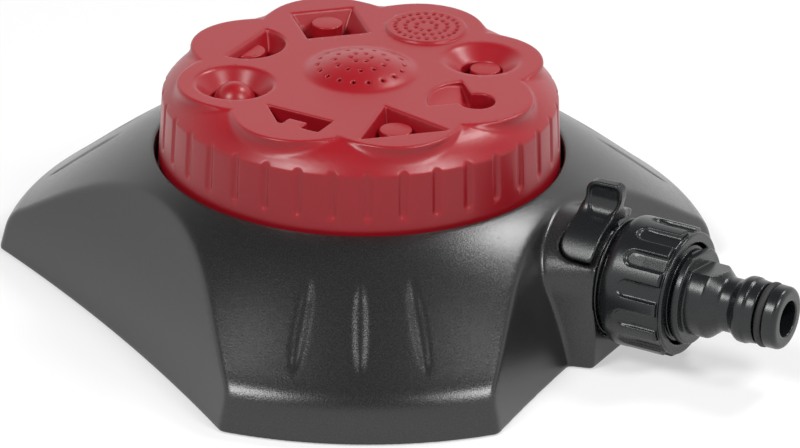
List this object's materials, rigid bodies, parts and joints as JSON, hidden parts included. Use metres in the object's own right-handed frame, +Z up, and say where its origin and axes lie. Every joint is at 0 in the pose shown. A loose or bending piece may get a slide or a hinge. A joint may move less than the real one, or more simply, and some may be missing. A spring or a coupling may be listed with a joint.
{
  "type": "multi-pattern lawn sprinkler",
  "caption": "Low three-footed sprinkler base with a round click dial of nozzle shapes on top, a flow lever and a hose quick-connect inlet.",
  "frame": {"origin": "centre of the overall outline on the floor", "axes": "+X the way the hose inlet points, +Z up along the dial's axis, +Y the side that the flow lever travels to"},
  "size_m": [0.2144, 0.1844, 0.0624],
  "materials": {
    "gunmetal": "satin gunmetal paint with a fine metallic sparkle, over moulded plastic",
    "red": "satin moulded red",
    "deep_red": "satin moulded red, inside the nozzles",
    "black": "satin moulded black",
    "natural": "uncoloured bearing plastic",
    "rubber": "dull black seal rubber",
    "steel": "plain stainless steel"
  },
  "bodies": {
    "base": {"base_shell": "gunmetal", "water_body": "black", "inlet_spigot": "black", "spigot_o_ring": "rubber", "valve_seat": "natural", "riser_seal": "rubber", "seal_spring": "steel", "hub_bush": "natural", "body_screw_1": "steel", "body_screw_2": "steel", "body_screw_3": "steel", "body_screw_4": "steel", "detent_spring": "steel"},
    "dial": {"dial_cap": "red", "nozzle_insert": "deep_red", "port_plate": "black", "hub_washer": "steel", "hub_screw": "steel", "dial_screw_1": "steel", "dial_screw_2": "steel", "dial_screw_3": "steel", "dial_screw_4": "steel"},
    "lever": {"valve_lever": "black", "valve_sleeve": "natural", "sleeve_o_ring": "rubber"},
    "nipple": {"hose_nipple": "black", "nipple_o_ring": "rubber", "flange_washer": "rubber"},
    "nut": {"coupling_nut": "black"},
    "detent": {"detent_plunger": "black"}
  },
  "joints": [
    {"name": "dial_turn", "type": "hinge", "parent": "base", "child": "dial", "pos_m": [-0.0138, 0, 0.04], "axis": [0, 0, 1], "continuous": true},
    {"name": "valve_turn", "type": "hinge", "parent": "base", "child": "lever", "pos_m": [0.045, 0, 0.0192], "axis": [-1, 0, 0], "range_deg": [0, 60]},
    {"name": "nipple_slide", "type": "slide", "parent": "base", "child": "nipple", "axis": [1, 0, 0], "range_m": [0, 0.0075]},
    {"name": "nut_turn", "type": "hinge", "parent": "nipple", "child": "nut", "pos_m": [0.07, 0, 0.0192], "axis": [1, 0, 0], "range_deg": [0, 1490]},
    {"name": "detent_slide", "type": "slide", "parent": "base", "child": "detent", "axis": [0, 0, 1], "range_m": [0, 0.0008], "stiffness_N_per_m": 100, "deforming": ["detent_spring"]}
  ],
  "couplings": [
    {"joint": "nut_turn", "follows": "nipple_slide", "rad_per_m": 3463}
  ]
}
